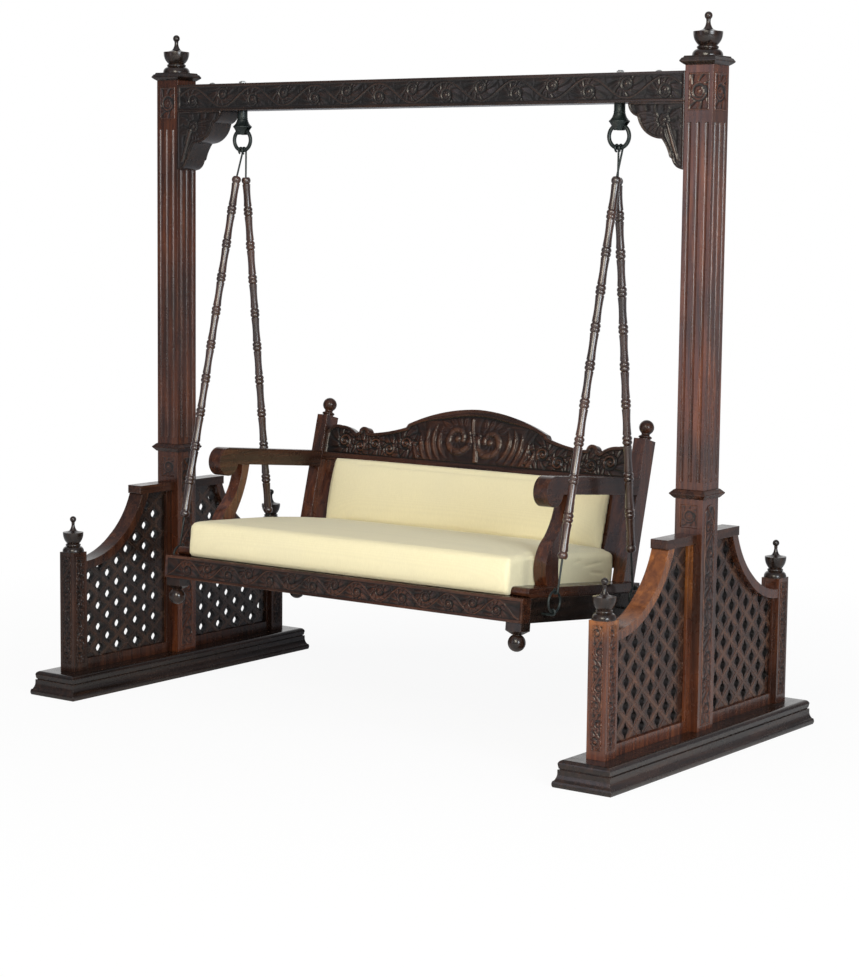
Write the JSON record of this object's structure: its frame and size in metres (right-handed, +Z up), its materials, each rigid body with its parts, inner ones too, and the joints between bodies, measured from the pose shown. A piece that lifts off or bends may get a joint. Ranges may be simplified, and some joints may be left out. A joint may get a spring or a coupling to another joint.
{
  "type": "jhoola swing",
  "caption": "Carved wooden porch swing: a cushioned bench with a shaped back hangs by turned rods and iron rings from a beam between two posts with pierced side wings.",
  "frame": {"origin": "on the floor, midway between the two posts", "axes": "+X along the beam towards the right-hand post as seen from the front, +Y from the front of the seat to its back, +Z up"},
  "size_m": [2.191, 1.195, 2.128],
  "materials": {
    "dark_wood": "semi-gloss dark stain and lacquer over carved hardwood",
    "iron": "blackened iron, satin",
    "cushion_cloth": "plain woven cream cloth over foam"
  },
  "bodies": {
    "stand": {"base_left": "dark_wood", "base_right": "dark_wood", "beam": "dark_wood", "bracket_bolts": "iron", "bracket_left": "dark_wood", "bracket_right": "dark_wood", "hanger_bosses": "iron", "hanger_nuts": "iron", "hanger_pins": "iron", "lattice_left_front": "dark_wood", "lattice_left_rear": "dark_wood", "lattice_right_front": "dark_wood", "lattice_right_rear": "dark_wood", "ledge_left_front": "dark_wood", "ledge_left_rear": "dark_wood", "ledge_right_front": "dark_wood", "ledge_right_rear": "dark_wood", "newel_finials": "dark_wood", "newel_left_front": "dark_wood", "newel_left_rear": "dark_wood", "newel_right_front": "dark_wood", "newel_right_rear": "dark_wood", "post_caps": "dark_wood", "post_collars": "dark_wood", "post_finials": "dark_wood", "post_left": "dark_wood", "post_right": "dark_wood", "wing_frame_left_front": "dark_wood", "wing_frame_left_rear": "dark_wood", "wing_frame_right_front": "dark_wood", "wing_frame_right_rear": "dark_wood"},
    "rings": {"hanger_rings": "iron"},
    "seat": {"arm_left": "dark_wood", "arm_right": "dark_wood", "arm_support_left": "dark_wood", "arm_support_right": "dark_wood", "back_cushion": "cushion_cloth", "back_frame": "dark_wood", "back_panel": "dark_wood", "back_post_balls": "dark_wood", "back_post_left": "dark_wood", "back_post_right": "dark_wood", "crest_rail": "dark_wood", "front_rail": "dark_wood", "links": "iron", "lower_hooks": "iron", "rear_rail": "dark_wood", "rod_left_front": "dark_wood", "rod_left_rear": "dark_wood", "rod_right_front": "dark_wood", "rod_right_rear": "dark_wood", "seat_board": "dark_wood", "seat_cushion": "cushion_cloth", "seat_feet": "dark_wood", "side_plank_left": "dark_wood", "side_plank_right": "dark_wood", "side_rail_left": "dark_wood", "side_rail_right": "dark_wood", "staples": "iron", "upper_hooks": "iron"}
  },
  "joints": [
    {"name": "ring_swing", "type": "hinge", "parent": "stand", "child": "rings", "pos_m": [0, 0, 1.817], "axis": [1, 0, 0], "range_deg": [-20, 20]},
    {"name": "seat_swing", "type": "hinge", "parent": "rings", "child": "seat", "pos_m": [0, 0, 1.749], "axis": [1, 0, 0], "range_deg": [-12, 12]}
  ]
}
